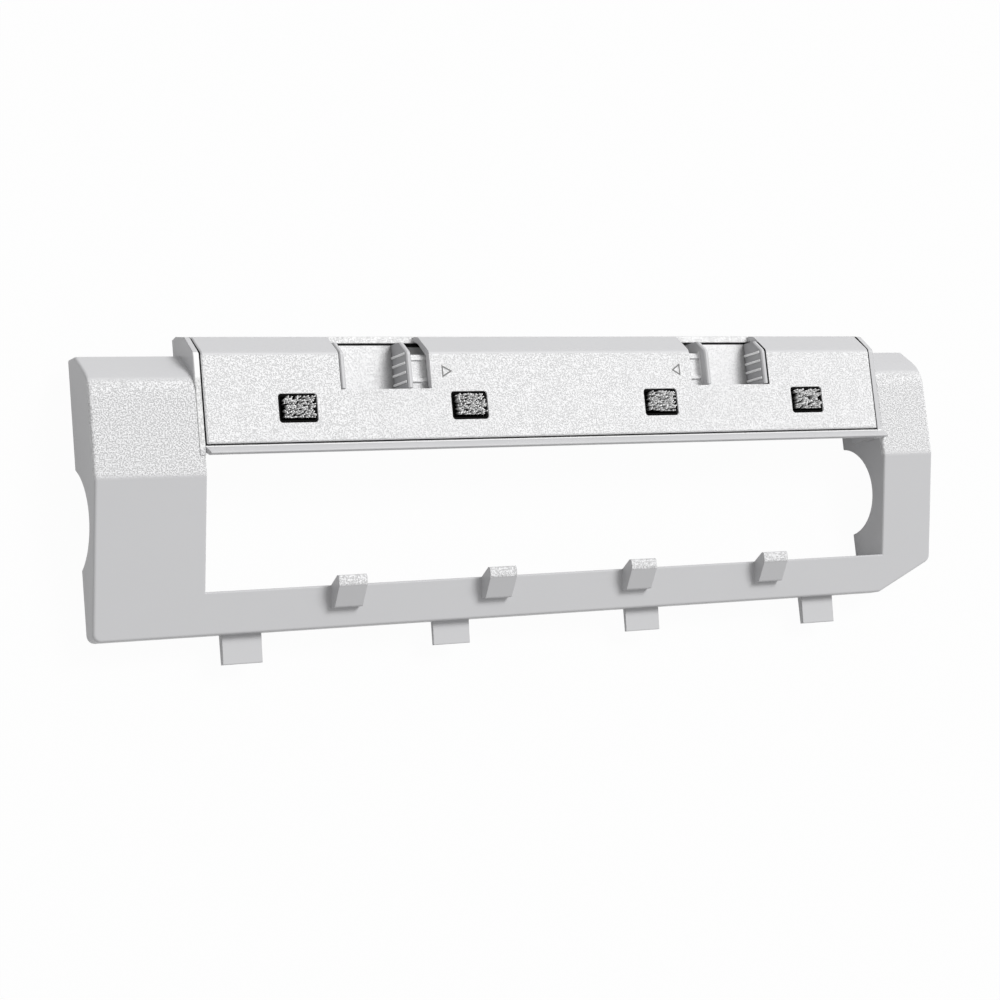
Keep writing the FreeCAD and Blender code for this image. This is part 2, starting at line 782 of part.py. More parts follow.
def make_panel():
    body = make_body("panel")
    inside = [
        ("ledge_front + 0.3", "panel_foot"),
        ("slant_low - panel_skin * 0.95", "slant_height - panel_skin * 0.2"),
        ("slant_high - panel_skin * 0.45", "panel_under"),
        ("panel_low", "panel_under"),
    ]
    foot_out = ("rear - (panel_foot - rear_widest) * lean_slope", "panel_foot")
    outline = [("panel_low", "panel_height")] + REAR[:2] + [foot_out] + inside
    width = "panel_right - panel_left"
    plate = bar_along_x(body, "panel_plate", outline, "panel_left", width)
    top = edges_along(body.Shape, 0, [REAR[0]])
    round_edges(body, "panel_bend", plate, top, "rear_bend_radius")
    low_bend = edges_along(body.Shape, 0, [REAR[1]])
    round_edges(body, "panel_low_bend", body.Tip, low_bend, "rear_edge_radius")
    rim = [name for x in ("panel_left", "panel_right") for name in side_tops(body.Shape, x)]
    rim += edges_along(body.Shape, 0, [("panel_low", "panel_height")])
    break_edges(body, "panel_rim", body.Tip, rim, "edge_break")

    for side, sign in (("left", -1), ("right", 1)):
        x0, x1 = sides(sign, "latch_window_near", "latch_window_far")
        y1 = "latch_edge - guide_wall"
        y0 = y1 + " - guide_wall"
        block_up(
            body,
            side + "_hold_down",
            x0,
            x1,
            y0,
            y1,
            "latch_floor + guide_gap",
            "panel_height - panel_skin / 2",
        )
        for name, near in (("near", "screw_near"), ("far", "screw_far")):
            x = f"middle - {near}" if sign < 0 else f"middle + {near}"
            post = make_sketch(body, f"{side}_{name}_post_outline", "XY", "deck_height + seat_gap")
            circle(post, x, "screw_line", "post_radius")
            pad(body, f"{side}_{name}_post", post, "panel_height - panel_skin / 2 - deck_height - seat_gap")
            hole = make_sketch(body, f"{side}_{name}_pilot_outline", "XY", "deck_height")
            circle(hole, x, "screw_line", "pilot_radius")
            cut(body, f"{side}_{name}_pilot", hole, "pilot_depth")

    for side, sign in (("left", -1), ("right", 1)):
        x0, x1 = sides(sign, "latch_window_near", "latch_window_far")
        top = "panel_height + 1"
        cut_up(body, side + "_latch_window", x0, x1, "latch_edge", "rear + 1", "latch_floor", top)

    for number_, centre in enumerate(TUFT_PLACES, 1):
        name = f"tuft_window_{number_}"
        x0 = f"{centre} - tuft_window_width / 2"
        x1 = f"{centre} + tuft_window_width / 2"
        y0 = "tuft_line - tuft_window_depth / 2"
        y1 = "tuft_line + tuft_window_depth / 2"
        cut_up(body, name, x0, x1, y0, y1, "panel_under - 1", "panel_height + 1")
    corners = []
    for centre in TUFT_PLACES:
        for x in (f"{centre} - tuft_window_width / 2", f"{centre} + tuft_window_width / 2"):
            for y in ("tuft_line - tuft_window_depth / 2", "tuft_line + tuft_window_depth / 2"):
                corners.append((x, y))
    upright = edges_along(body.Shape, 2, corners)
    round_edges(body, "tuft_window_round", body.Tip, upright, "tuft_window_radius")
    return body


STEPS_PER_TURN = 10
WIRE_SIDES = 6

TUFT_PLACES = [
    "middle - tuft_far",
    "middle - tuft_near",
    "middle + tuft_near",
    "middle + tuft_far",
]


def make_latch():
    """Left latch: a finger cup with a ridged wall at each end, a tongue and a hook."""
    body = make_body("left_latch")
    x0, x1 = sides(-1, "latch_inner", "latch_outer")
    block_up(body, "latch_floor_plate", x0, x1, "latch_front", "latch_rear", "latch_under", "latch_floor")
    x0, x1 = sides(-1, "latch_end", "latch_inner")
    y0 = "spring_line - tongue_width / 2"
    y1 = "spring_line + tongue_width / 2"
    block_up(body, "latch_tongue_plate", x0, x1 + " - 0.5", y0, y1, "latch_under", "latch_floor")

    # The end walls follow the panel's outline and stop short of its rear.
    drop = "(latch_rear - slant_high) * rear_bend_drop / rear_bend_run"
    wall_outline = [
        ("latch_low", "latch_under"),
        ("latch_low", "panel_height"),
        ("slant_high", "panel_height"),
        ("latch_rear", f"panel_height - {drop}"),
        ("latch_rear", "latch_under"),
    ]
    outer_start = "middle - latch_outer"
    inner_start = "middle - latch_inner - latch_wall"
    bar_along_x(body, "outer_wall", wall_outline, outer_start, "latch_wall")
    bar_along_x(body, "inner_wall_plate", wall_outline, inner_start, "latch_wall")
    bend = edges_along(body.Shape, 0, [("slant_high", "panel_height")])
    round_edges(body, "wall_bend", body.Tip, bend, "rear_bend_radius")
    rim = []
    for x in (outer_start, outer_start + " + latch_wall", inner_start, inner_start + " + latch_wall"):
        rim += side_tops(body.Shape, x)
    break_edges(body, "wall_rim", body.Tip, rim, "edge_break")

    grips = {
        "outer_grip": "middle - latch_outer + latch_wall",
        "inner_grip": "middle - latch_inner - latch_wall",
    }
    for name, x in grips.items():
        ridge = make_sketch(body, name + "_outline", "XY", "latch_floor - 0.1")
        circle(ridge, x, "latch_low + grip_first", "grip_radius")
        rib = pad(body, name, ridge, "grip_height")
        pattern(body, name + "s", rib, "Y", "grip_pitch * (grip_count - 1)", "grip_count")

    # A plate with two low rails closes the window beside the inner wall.
    x0, x1 = sides(-1, "latch_end", "latch_inner")
    y1 = "latch_low + shelf_depth"
    block_up(body, "shelf", x0, x1 + " + 0.2", "latch_low", y1, "shelf_top - shelf_skin", "shelf_top")
    for name, place in (("first_rail", "rail_first"), ("second_rail", "rail_second")):
        y0 = f"latch_low + {place}"
        y1 = y0 + " + rail_width"
        block_up(body, name, x0, x1 + " + 0.2", y0, y1, "shelf_top - 0.2", "shelf_top + rail_height")
    x0, x1 = sides(-1, "latch_end", "latch_end + latch_wall")
    y0 = "spring_line - stop_width / 2"
    y1 = "spring_line + stop_width / 2"
    block_up(body, "tongue_end", x0, x1, y0, y1, "latch_under", "shelf_top - shelf_skin / 2")
    pin = make_sketch(body, "tongue_pin_outline", "YZ", "middle - latch_end - 0.2")
    circle(pin, "spring_line", "spring_height", "spring_pin_radius")
    pad(body, "tongue_pin", pin, "spring_pin + 0.2")

    # The hook goes down through the deck and its nose points outwards.
    hook = make_sketch(body, "hook_outline", "XZ", "-hook_rear")
    near = "middle - hook_place"
    far = "middle - hook_place - hook_thick"
    tip = far + " - hook_nose"
    polygon(hook, [
        (near, "latch_under + 0.2"),
        (near, "hook_bottom"),
        (far, "hook_bottom"),
        (tip, "hook_bottom + hook_nose * 0.7"),
        (tip, "hook_bottom + hook_nose_height"),
        (far, "hook_bottom + hook_nose_height"),
        (far, "latch_under + 0.2"),
    ])
    pad(body, "hook", hook, "hook_width")
    return body


def make_spring(name, sign):
    """Open coil about the spring's own axis, swept along short straight runs."""
    wire = number("spring_wire")
    radius = number("spring_radius")
    turns = number("spring_turns")
    height = number("spring_room - 2 * spring_end_gap - 2 * spring_wire")
    steps = round(turns * STEPS_PER_TURN)
    path = []
    for step in range(steps + 1):
        angle = 2 * math.pi * turns * step / steps
        across = FreeCAD.Vector(0, radius * math.cos(angle), radius * math.sin(angle))
        path.append(across + FreeCAD.Vector(wire + height * step / steps, 0, 0))
    centre = path[0]
    along = (path[1] - path[0]).normalize()
    outward = FreeCAD.Vector(0, 1, 0)
    aside = along.cross(outward).normalize()
    corners = []
    for k in range(WIRE_SIDES + 1):
        angle = 2 * math.pi * k / WIRE_SIDES
        corners.append(centre + outward * (wire * math.cos(angle)) + aside * (wire * math.sin(angle)))
    outline = Part.makePolygon(corners)
    item = doc.addObject("Part::Feature", name)
    item.Shape = Part.makePolygon(path).makePipeShell([outline], True, False, 1)
    turn = FreeCAD.Rotation(FreeCAD.Vector(0, 1, 0), 0 if sign > 0 else 180)
    item.Placement = FreeCAD.Placement(FreeCAD.Vector(), turn)
    near = "spring_post + spring_end_gap"
    x = f"middle + {near}" if sign > 0 else f"middle - ({near})"
    bound(
        item,
        Placement__Base__x=x,
        Placement__Base__y="spring_line",
        Placement__Base__z="spring_height",
    )
    doc.recompute()
    return item


def make_cup(index, centre):
    body = make_body(f"bristle_cup_{index}")
    x0 = f"{centre} - cup_width / 2"
    x1 = f"{centre} + cup_width / 2"
    y0 = "tuft_line - cup_depth / 2"
    y1 = "tuft_line + cup_depth / 2"
    block_up(body, f"cup_{index}", x0, x1, y0, y1, "cup_top - cup_height", "cup_top")
    inset = "cup_wall"
    cut_up(
        body,
        f"cup_{index}_hollow",
        f"{x0} + {inset}",
        f"{x1} - {inset}",
        f"{y0} + {inset}",
        f"{y1} - {inset}",
        "tuft_base",
        "cup_top + 1",
    )
    block_up(
        body,
        f"cup_{index}_stem",
        f"{centre} - stem_width / 2",
        f"{centre} + stem_width / 2",
        "tuft_line - stem_width / 2",
        "tuft_line + stem_width / 2",
        "deck_height + seat_gap / 2",
        "cup_top - cup_height + 0.2",
    )
    corners = [(x, y) for x in (x0, x1) for y in (y0, y1)]
    upright = edges_along(body.Shape, 2, corners)
    round_edges(body, f"cup_{index}_round", body.Tip, upright, "tuft_window_radius - cup_gap")
    return body


def make_tufts(index, centre):
    body = make_body(f"bristles_{index}")
    x0 = f"{centre} - cup_width / 2 + cup_wall"
    x1 = f"{centre} + cup_width / 2 - cup_wall"
    y0 = "tuft_line - cup_depth / 2 + cup_wall"
    y1 = "tuft_line + cup_depth / 2 - cup_wall"
    block_up(body, f"tuft_root_{index}", x0, x1, y0, y1, "tuft_base", "tuft_base + tuft_root")
    sketch = make_sketch(body, f"tuft_outline_{index}", "XY", "tuft_base")
    room_x = "(cup_width - 2 * cup_wall)"
    room_y = "(cup_depth - 2 * cup_wall)"
    x = f"{x0} + {room_x} / tuft_columns / 2"
    y = f"{y0} + {room_y} / tuft_rows / 2"
    hexagon(sketch, x, y, "tuft_radius")
    tuft = pad(body, f"tuft_{index}", sketch, "panel_height - tuft_below - tuft_base")
    field = body.newObject("PartDesign::MultiTransform", f"tufts_{index}")
    field.Originals = [tuft]
    steps = []
    for axis_name, room, count in (("X", room_x, "tuft_columns"), ("Y", room_y, "tuft_rows")):
        step = body.newObject("PartDesign::LinearPattern", f"tufts_{axis_name}_{index}")
        axis = next(f for f in body.Origin.OriginFeatures if f.Role == axis_name + "_Axis")
        step.Direction = (axis, [""])
        step.setExpression("Length", ex(f"{room} * (1 - 1 / {count})"))
        step.setExpression("Occurrences", ex(count))
        steps.append(step)
    field.Transformations = steps
    body.Tip = field
    doc.recompute()
    return body


def make_screws():
    screws = []
    places = [
        "middle - screw_far",
        "middle - screw_near",
        "middle + screw_near",
        "middle + screw_far",
    ]
    for index, x in enumerate(places, 1):
        body = make_body(f"screw_{index}")
        head = make_sketch(body, f"head_{index}_outline", "XY", "seat - head_height - seat_gap")
        circle(head, x, "screw_line", "head_radius")
        form = pad(body, f"head_{index}", head, "head_height")
        shank = make_sketch(body, f"shank_{index}_outline", "XY", "seat - seat_gap - 0.2")
        circle(shank, x, "screw_line", "shank_radius")
        pad(body, f"shank_{index}", shank, "shank_length")
        drive = make_sketch(body, f"drive_{index}_outline", "XY", "seat - head_height - seat_gap")
        hexagon(drive, x, "screw_line", "recess_radius")
        cut(body, f"drive_{index}", drive, "recess_depth")
        screws.append(body)
    return combine("Part::Compound", "panel_screws", screws)


nodes = {"frame": make_frame(), "panel": make_panel()}
left_latch = make_latch()
right_latch = doc.addObject("Part::Mirroring", "right_latch")
right_latch.Source = left_latch
right_latch.Normal = FreeCAD.Vector(1, 0, 0)
right_latch.setExpression("Base.x", ex("middle"))
nodes["left_latch"] = left_latch
nodes["right_latch"] = right_latch
nodes["left_spring"] = make_spring("left_spring", -1)
nodes["right_spring"] = make_spring("right_spring", 1)
for index, centre in enumerate(TUFT_PLACES, 1):
    nodes[f"bristle_cup_{index}"] = make_cup(index, centre)
    nodes[f"bristles_{index}"] = make_tufts(index, centre)
nodes["panel_screws"] = make_screws()
doc.recompute()

for item in doc.Objects:
    if "Invalid" in item.State or "Error" in item.State:
        raise RuntimeError(item.Name + " failed to build")
for name, item in nodes.items():
    item.Label = name
    shape = item.Shape
    if shape.isNull() or not shape.isValid():
        raise RuntimeError(name + " has no valid shape")
    shape.exportStep(f"parts/{name}.step")
    box = shape.BoundBox
    print(
        name,
        len(shape.Solids),
        round(shape.Volume, 1),
        [round(v, 2) for v in (box.XMin, box.XMax, box.YMin, box.YMax, box.ZMin, box.ZMax)],
    )
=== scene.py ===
import math
import random

import bmesh
import bpy
from mathutils import Matrix, Vector


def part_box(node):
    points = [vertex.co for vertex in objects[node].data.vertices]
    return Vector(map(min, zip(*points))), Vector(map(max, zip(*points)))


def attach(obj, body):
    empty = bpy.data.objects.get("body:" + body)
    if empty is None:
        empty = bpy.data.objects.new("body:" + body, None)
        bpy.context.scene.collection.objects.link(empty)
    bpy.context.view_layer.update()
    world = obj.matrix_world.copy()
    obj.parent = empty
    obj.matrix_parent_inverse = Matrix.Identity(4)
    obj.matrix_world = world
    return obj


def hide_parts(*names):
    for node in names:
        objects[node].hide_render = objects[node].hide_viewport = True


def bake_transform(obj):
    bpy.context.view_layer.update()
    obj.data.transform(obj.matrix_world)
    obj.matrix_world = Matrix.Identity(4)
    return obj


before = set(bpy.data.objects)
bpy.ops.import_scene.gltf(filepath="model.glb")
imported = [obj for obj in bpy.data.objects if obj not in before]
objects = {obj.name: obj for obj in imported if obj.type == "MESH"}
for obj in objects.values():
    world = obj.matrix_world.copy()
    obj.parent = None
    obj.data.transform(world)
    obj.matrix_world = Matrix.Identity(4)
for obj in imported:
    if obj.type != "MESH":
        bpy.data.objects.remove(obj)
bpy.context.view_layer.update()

mm = 0.001
print("frame loaded", sorted(objects))


# camera, where the photograph was taken from
camera = {
    "place": (-300.9 * mm, -58.75 * mm, 509.2 * mm),
    "right": (0.8660, -0.0937, 0.4911),
    "look": (0.5, 0.1623, -0.8507),
    "lens": 90.0,               # lens and sensor in millimetres
    "sensor": 36.0,
    "shiftDown": 0.1674,
    "nearest": 0.01,            # metres
    "farthest": 20,
}


def addCamera(values):
    data = bpy.data.cameras.new("photoCamera")
    item = bpy.data.objects.new("photoCamera", data)
    bpy.context.scene.collection.objects.link(item)
    data.lens = values["lens"]
    data.sensor_width = values["sensor"]
    data.shift_y = -values["shiftDown"]
    right = Vector(values["right"]).normalized()
    back = -Vector(values["look"]).normalized()
    up = back.cross(right).normalized()
    turn = Matrix((right, up, back)).transposed().to_4x4()
    item.matrix_world = Matrix.Translation(Vector(values["place"])) @ turn
    data.clip_start = values["nearest"]
    data.clip_end = values["farthest"]
    bpy.context.scene.camera = item


addCamera(camera)
print("camera set")


# shader helpers
class Value:
    # wraps a socket so that shader maths reads as an expression
    def __init__(self, finish, socket):
        self.finish = finish
        self.socket = socket

    def __add__(self, other):
        return self.finish.maths("ADD", self, other)

    def __radd__(self, other):
        return self.finish.maths("ADD", other, self)

    def __sub__(self, other):
        return self.finish.maths("SUBTRACT", self, other)

    def __rsub__(self, other):
        return self.finish.maths("SUBTRACT", other, self)

    def __mul__(self, other):
        return self.finish.maths("MULTIPLY", self, other)

    def __rmul__(self, other):
        return self.finish.maths("MULTIPLY", other, self)

    def __gt__(self, other):
        return self.finish.maths("GREATER_THAN", self, other)

    def __lt__(self, other):
        return self.finish.maths("LESS_THAN", self, other)


class Finish:
    # one material or world, with short ways to add its nodes
    def __init__(self, owner):
        self.owner = owner
        owner.use_nodes = True
        self.tree = owner.node_tree
        self.shader = self.tree.nodes.get("Principled BSDF")

    def add(self, kind, settings=None, inputs=None, output=0):
        node = self.tree.nodes.new(kind)
        for key, value in (settings or {}).items():
            setattr(node, key, value)
        for key, value in (inputs or {}).items():
            self.join(node.inputs[key], value)
        if output is None:
            return [Value(self, socket) for socket in node.outputs]
        return Value(self, node.outputs[output])

    def join(self, socket, value):
        if isinstance(value, Value):
            self.tree.links.new(value.socket, socket)
        elif isinstance(value, tuple) and len(value) == 3 and socket.type == "RGBA":
            socket.default_value = (*value, 1)
        else:
            socket.default_value = value

    def maths(self, operation, first, second):
        return self.add("ShaderNodeMath", {"operation": operation}, {0: first, 1: second})

    def place(self):
        # object coordinates in millimetres
        plain = self.add("ShaderNodeTexCoord", output="Object")
        return self.add("ShaderNodeVectorMath", {"operation": "SCALE"}, {0: plain, "Scale": 1 / mm})

    def split(self, vector):
        return self.add("ShaderNodeSeparateXYZ", None, {0: vector}, None)

    def noise(self, vector, scale, detail=2.0, rough=0.5):
        inputs = {"Vector": vector, "Scale": scale, "Detail": detail, "Roughness": rough}
        return self.add("ShaderNodeTexNoise", {"noise_dimensions": "3D"}, inputs)

    def ramp(self, low, high, value):
        # 0 below low, 1 above high
        settings = {"interpolation_type": "SMOOTHSTEP"}
        inputs = {0: value, 1: low, 2: high, 3: 0.0, 4: 1.0}
        return self.add("ShaderNodeMapRange", settings, inputs)

    def colour(self, factor, first, second):
        return self.add("ShaderNodeMix", {"data_type": "RGBA"}, {0: factor, 6: first, 7: second}, 2)

    def mottled(self, factor, colour, share):
        # the colour where the factor is 1, and a share darker where it is 0
        darker = tuple(shade * (1 - share) for shade in colour)
        return self.colour(factor, darker, colour)

    def bump(self, height, normal=None):
        # height in metres
        inputs = {"Height": height, "Distance": 1.0}
        if normal:
            inputs["Normal"] = normal
        return self.add("ShaderNodeBump", None, inputs)

    def boxes(self, spot, boxes):
        # 1 inside any of the boxes, given in millimetres, with soft edges along Y
        x, y, z = spot
        masks = []
        for low, high, soft in boxes:
            entered = self.ramp(low[1] - soft, low[1] + soft, y)
            left = self.ramp(high[1] - soft, high[1] + soft, y)
            inside = entered * (1 - left)
            masks.append(inside * (x > low[0]) * (x < high[0]) * (z > low[2]) * (z < high[2]))
        return self.either(masks)

    def either(self, masks):
        whole = masks[0]
        for mask in masks[1:]:
            whole = self.maths("MAXIMUM", whole, mask)
        return whole

    def seenDirectly(self):
        # 1 for rays from the camera, off a shine or through glass
        paths = {value.socket.name: value for value in self.add("ShaderNodeLightPath", output=None)}
        kinds = ("Is Camera Ray", "Is Glossy Ray", "Is Transmission Ray")
        return self.either([paths[kind] for kind in kinds])

    def set(self, inputs):
        for key, value in inputs.items():
            self.join(self.shader.inputs[key], value)


def newFinish(name):
    return Finish(bpy.data.materials.new(name))


# light plastic, grained on its show faces and smooth elsewhere
plastic = {
    "colour": (0.57, 0.57, 0.58),
    "cloudSize": 0.06,          # broad, faint unevenness of the smooth faces, per millimetre
    "cloudTone": 0.03,
    "pits": (0.34, 0.54),       # where the grain's noise turns from pit to top
    "detail": 3.0,
    "detailRough": 0.6,
    "grainRough": 0.6,
    "plainRough": 0.4,
    "plainDepth": 0.004,
    "shine": 0.4,
    "edgeSamples": 6,
    "tones": {
        "cavityShade": (0.02, 0.02, 0.02),   # painted shade in the narrow gaps, and on the cup floors by the ridged walls
        "wall": (0.4, 0.4, 0.41),       # painted shade on the ridged walls, between the finger ridges
        "ridgeHighlight": (0.95, 0.95, 0.95),    # painted highlight on the tops of the ridges
        # painted light on the left flange and on the shaded deck under the shelves
        "paintedLight": (0.86, 0.86, 0.86),
        "rim": (0.97, 0.97, 0.97),      # painted highlight on the lip and ledge
    },
}

# per piece: tone of the grain, its size per millimetre, depths in millimetres, and boxes around
# faces, each a low corner, a high corner and how soft the box is along Y
framePlastic = {
    "grainColour": (0.85, 0.85, 0.857),
    "grainTone": 0.17,
    "grainSize": 2.9,
    "grainDepth": 0.12,
    "softEdge": 0.35,
    "grained": [
        ((-113, 4.3, 15.0), (-87.0, 25.2, 16.5), 0.9),
        ((97.0, 4.3, 15.0), (113, 25.2, 16.5), 0.9),
        ((-70, -21.4, 14.5), (70, -17.0, 15.0), 0.1),
        ((-87, 33.9, 9.3), (96, 36.0, 9.7), 0.1),
    ],
    "tints": {
        # painted highlight on the lip and the ledge
        "rim": [
            ((-87, 8.4, 14.6), (97, 10.5, 16.4), 0.05),
            ((-87, 34.2, 9.3), (96, 36.1, 9.7), 0.1),
        ],
        # painted light on the left flange and on the shaded deck under the shelves
        "paintedLight": [
            ((-88.5, 10.0, 15.9), (-87.0, 31.0, 16.5), 0.05),
            ((-31, 30.0, 7.9), (-23, 33.4, 9.3), 0.05),
            ((33, 30.0, 7.9), (42, 33.4, 9.3), 0.05),
        ],
        # painted shade in the narrow gaps and in the slot behind the latches
        "cavityShade": [
            ((-87, 33.4, 7.9), (97, 34.2, 9.3), 0.15),
            ((-87.05, 10.6, 5.0), (-86.95, 36.0, 16.2), 0.05),
            ((95.75, 10.6, 5.0), (95.85, 36.0, 16.2), 0.05),
            ((-87, 10.5, 14.7), (97, 10.6, 15.95), 0.01),
        ],
    },
}
panelPlastic = {
    "grainColour": (0.9, 0.9, 0.906),
    "grainTone": 0.17,
    "grainSize": 3.1,
    "grainDepth": 0.09,
    "softEdge": 0.25,
    "grained": [((-87, 10.9, 16.3), (96, 30.3, 16.8), 0.2)],
    "tints": {
        # painted shade in the narrow gaps around the panel and the latch windows
        "cavityShade": [
            ((-86.7, 10.8, 9.0), (-86.6, 36.0, 16.35), 0.05),
            ((95.4, 10.8, 9.0), (95.5, 36.0, 16.35), 0.05),
            ((-87, 10.8, 15.0), (96, 10.9, 16.35), 0.01),
            ((-53.65, 22.0, 9.0), (-53.55, 33.4, 16.6), 0.05),
            ((63.65, 22.0, 9.0), (63.75, 33.4, 16.6), 0.05),
        ],
    },
}
latchPlastic = {
    "grainColour": (0.91, 0.91, 0.915),
    "grainTone": 0.12,
    "grainSize": 3.1,
    "grainDepth": 0.06,
    "softEdge": 0.15,
    "grained": [
        ((-60, 19.0, 9.3), (70, 34.0, 9.7), 0.1),
        ((-35.3, 22.0, 13.6), (-24, 31.0, 14.5), 0.1),
        ((34, 22.0, 13.6), (45.4, 31.0, 14.5), 0.1),
    ],
    "tints": {
        # painted shade on the ridged walls, which face away from the lamp
        "wall": [
            ((-36.47, 22.0, 9.55), (-36.4, 34.0, 16.4), 0.05),
            ((46.5, 22.0, 9.55), (46.57, 34.0, 16.4), 0.05),
            ((-52.2, 22.0, 9.55), (-52.13, 34.0, 16.4), 0.05),
            ((62.23, 22.0, 9.55), (62.3, 34.0, 16.4), 0.05),
        ],
        # painted highlight along the finger ridges
        "ridgeHighlight": [
            ((-36.9, 22.0, 9.6), (-36.55, 34.0, 16.3), 0.05),
            ((46.65, 22.0, 9.6), (47.0, 34.0, 16.3), 0.05),
            ((-52.05, 22.0, 9.6), (-51.7, 34.0, 16.3), 0.05),
            ((61.8, 22.0, 9.6), (62.15, 34.0, 16.3), 0.05),
        ],
        # painted shade in the narrow gaps beside the latch cups
        "cavityShade": [
            ((-53.4, 22.0, 8.0), (-53.3, 34.0, 16.35), 0.05),
            ((63.4, 22.0, 8.0), (63.5, 34.0, 16.35), 0.05),
        ],
    },
    # painted shade: the floor of the cup darkens towards the ridged wall that it meets, where the
    # wall's shadow falls
    "floorHeights": (9.3, 9.7),
    "paintedShadeRuns": [(-41.5, -36.0), (57.2, 62.7)],   # from X, to X
    "deepest": 0.6,                             # share of the painted shade tone at the wall
}


def plasticFinish(name, piece):
    finish = newFinish(name)
    place = finish.place()
    spot = finish.split(place)
    mask = finish.boxes(spot, piece["grained"])
    fine = finish.noise(place, piece["grainSize"], plastic["detail"], plastic["detailRough"])
    broad = finish.noise(place, plastic["cloudSize"])
    pits = finish.ramp(*plastic["pits"], fine)
    height = pits * mask * (piece["grainDepth"] * mm) + fine * (plastic["plainDepth"] * mm)
    edge = {"Radius": piece["softEdge"] * mm}
    rounded = finish.add("ShaderNodeBevel", {"samples": plastic["edgeSamples"]}, edge)
    normal = finish.bump(height, rounded)
    grain = finish.mottled(pits, piece["grainColour"], piece["grainTone"])
    plain = finish.mottled(broad, plastic["colour"], plastic["cloudTone"])
    base = finish.colour(mask, plain, grain)
    # painted light and shade: each tint paints shade into gaps and onto the ridged walls, or
    # highlights onto the ridges, lip, ledge, flange and deck
    for tone, boxes in piece["tints"].items():
        base = finish.colour(finish.boxes(spot, boxes), base, plastic["tones"][tone])
    x, _, z = spot
    # painted shade on the cup floors, darkest at the ridged walls
    for start, end in piece.get("paintedShadeRuns", ()):
        slope = finish.ramp(start, end, x)
        low, high = piece["floorHeights"]
        floor = (x < end) * (z < high) * (z > low)
        share = slope * slope * floor * piece["deepest"]
        base = finish.colour(share, base, plastic["tones"]["cavityShade"])
    rough = plastic["plainRough"] + mask * (plastic["grainRough"] - plastic["plainRough"])
    finish.set({"Base Color": base, "Roughness": rough, "Normal": normal})
    finish.set({"Specular IOR Level": plastic["shine"]})
    return finish.owner


def dress(node, material):
    for slot in objects[node].material_slots:
        slot.material = material


dress("frame", plasticFinish("framePlastic", framePlastic))
dress("panel", plasticFinish("panelPlastic", panelPlastic))
latchFinish = plasticFinish("latchPlastic", latchPlastic)
dress("left_latch", latchFinish)
dress("right_latch", latchFinish)
print("light plastic on")


# black cups and plain steel
cupBlack = {
    "low": (0.003, 0.003, 0.003),
    "high": (0.008, 0.008, 0.008),
    "size": 2.2,            # of the unevenness, per millimetre
    "depth": 0.01,          # millimetres
    "rough": (0.7, 0.8),
    "shine": 0.02,
    "metal": 0.0,
}
steel = {
    "low": (0.46, 0.46, 0.48),
    "high": (0.62, 0.62, 0.64),
    "size": 3.0,
    "depth": 0.004,
    "rough": (0.28, 0.43),
    "shine": 0.5,
    "metal": 1.0,
}


def unevenFinish(name, values):
    # one tone that wavers a little, with a shine to match
    finish = newFinish(name)
    fine = finish.noise(finish.place(), values["size"])
    smooth, rough = values["rough"]
    base = finish.colour(fine, values["low"], values["high"])
    finish.set({"Base Color": base, "Roughness": smooth + fine * (rough - smooth)})
    finish.set({"Specular IOR Level": values["shine"], "Metallic": values["metal"]})
    if "depth" in values:
        finish.set({"Normal": finish.bump(fine * (values["depth"] * mm))})
    return finish.owner


cupPlastic = unevenFinish("cupBlackPlastic", cupBlack)
plainSteel = unevenFinish("plainSteel", steel)
cups = range(1, 5)
for index in cups:
    dress(f"bristle_cup_{index}", cupPlastic)
dress("panel_screws", plainSteel)
print("cups and steel on")


def addMesh(name, form, material):
    mesh = bpy.data.meshes.new(name)
    form.to_mesh(mesh)
    form.free()
    mesh.materials.append(material)
    item = bpy.data.objects.new(name, mesh)
    bpy.context.scene.collection.objects.link(item)
    return item


def addPiece(name, form, material, body=None):
    bmesh.ops.recalc_face_normals(form, faces=form.faces)
    piece = addMesh(name, form, material)
    if body:
        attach(piece, body)
    return piece


# latch springs: round wire with closed ends, from the latch's tongue to a post on the cover
springs = {
    "wire": 0.25,           # radii and pitch in millimetres
    "coil": 1.8,
    "closedPitch": 0.56,
    "closedTurns": 1.0,
    "openTurns": 3.5,
    "wireSides": 12,
    "stepsPerTurn": 28,
    "sharpAbove": 40,       # degrees
}


def addSpring(side, values, material):
    low, high = (Vector(corner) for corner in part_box(f"{side}_spring"))
    wire = values["wire"] * mm
    middle = (low + high) / 2
    closedRun = values["closedPitch"] * values["closedTurns"] * mm
    openRun = high.x - low.x - 2 * (wire + closedRun)
    form = bmesh.new()
    start = Vector((low.x + wire, middle.y, middle.z + values["coil"] * mm))
    upright = Matrix.Translation(start) @ Matrix.Rotation(math.pi / 2, 4, "X")
    ring = bmesh.ops.create_circle(form, segments=values["wireSides"], radius=wire, matrix=upright)
    last = ring["verts"] + list(form.edges)
    closed = (values["closedTurns"], closedRun)
    for turns, run in (closed, (values["openTurns"], openRun), closed):
        steps = round(turns * values["stepsPerTurn"])
        spun = bmesh.ops.spin(
            form,
            geom=last,
            cent=middle,
            axis=(1, 0, 0),
            dvec=(run / steps, 0, 0),
            angle=2 * math.pi * turns,
            steps=steps,
        )
        last = spun["geom_last"]
    bmesh.ops.holes_fill(form, edges=form.edges, sides=values["wireSides"])
    spring = addPiece(f"{side}Coil", form, material)
    spring.data.shade_smooth()
    spring.data.set_sharp_from_angle(angle=math.radians(values["sharpAbove"]))
    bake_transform(spring)
    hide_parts(f"{side}_spring")


for side in ("left", "right"):
    addSpring(side, springs, plainSteel)
print("springs set")


